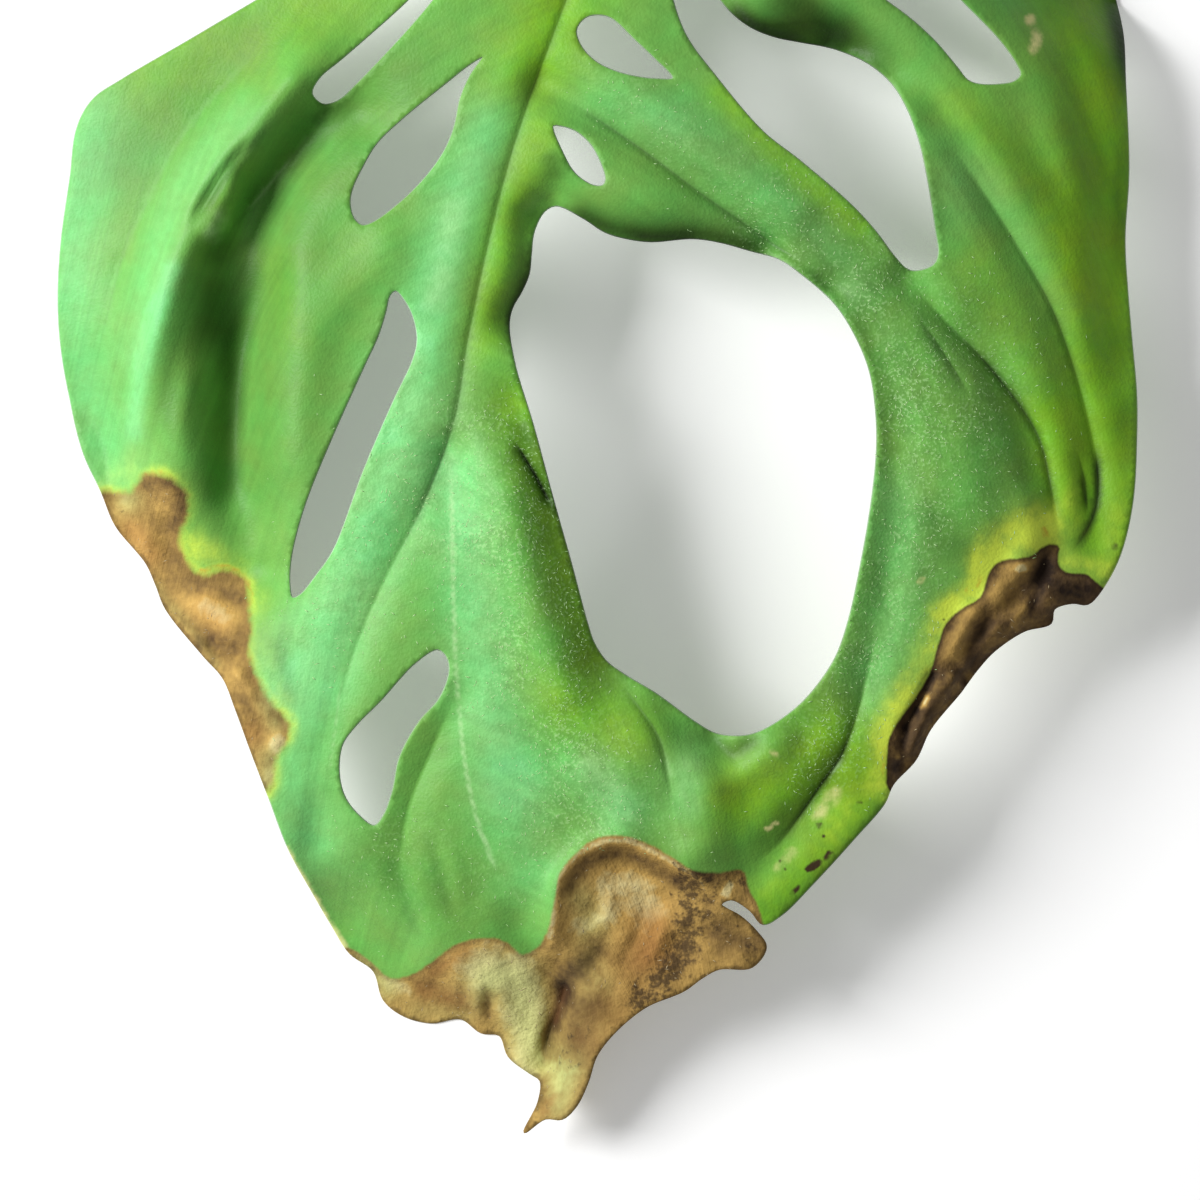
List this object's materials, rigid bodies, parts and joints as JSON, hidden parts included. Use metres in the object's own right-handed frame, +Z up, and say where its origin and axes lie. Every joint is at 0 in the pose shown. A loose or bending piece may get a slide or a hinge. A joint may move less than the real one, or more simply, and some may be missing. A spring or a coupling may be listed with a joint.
{
  "type": "monstera leaf",
  "caption": "Monstera leaf lying face up: a waved blade with rounded holes between its side veins, dry brown edges and tip, a midrib and a cut stalk.",
  "frame": {"origin": "middle of the leaf's box, on the surface that it lies on", "axes": "+Z up out of the leaf's upper face, +Y from the tip towards the stalk's cut end, +X to the right as seen from above with the tip towards the viewer"},
  "size_m": [0.1082, 0.1618, 0.0158],
  "materials": {
    "leaf": "waxy semi-gloss green, with dry matt brown edges and tip"
  },
  "bodies": {
    "root": {"leaf": "leaf"}
  },
  "joints": []
}
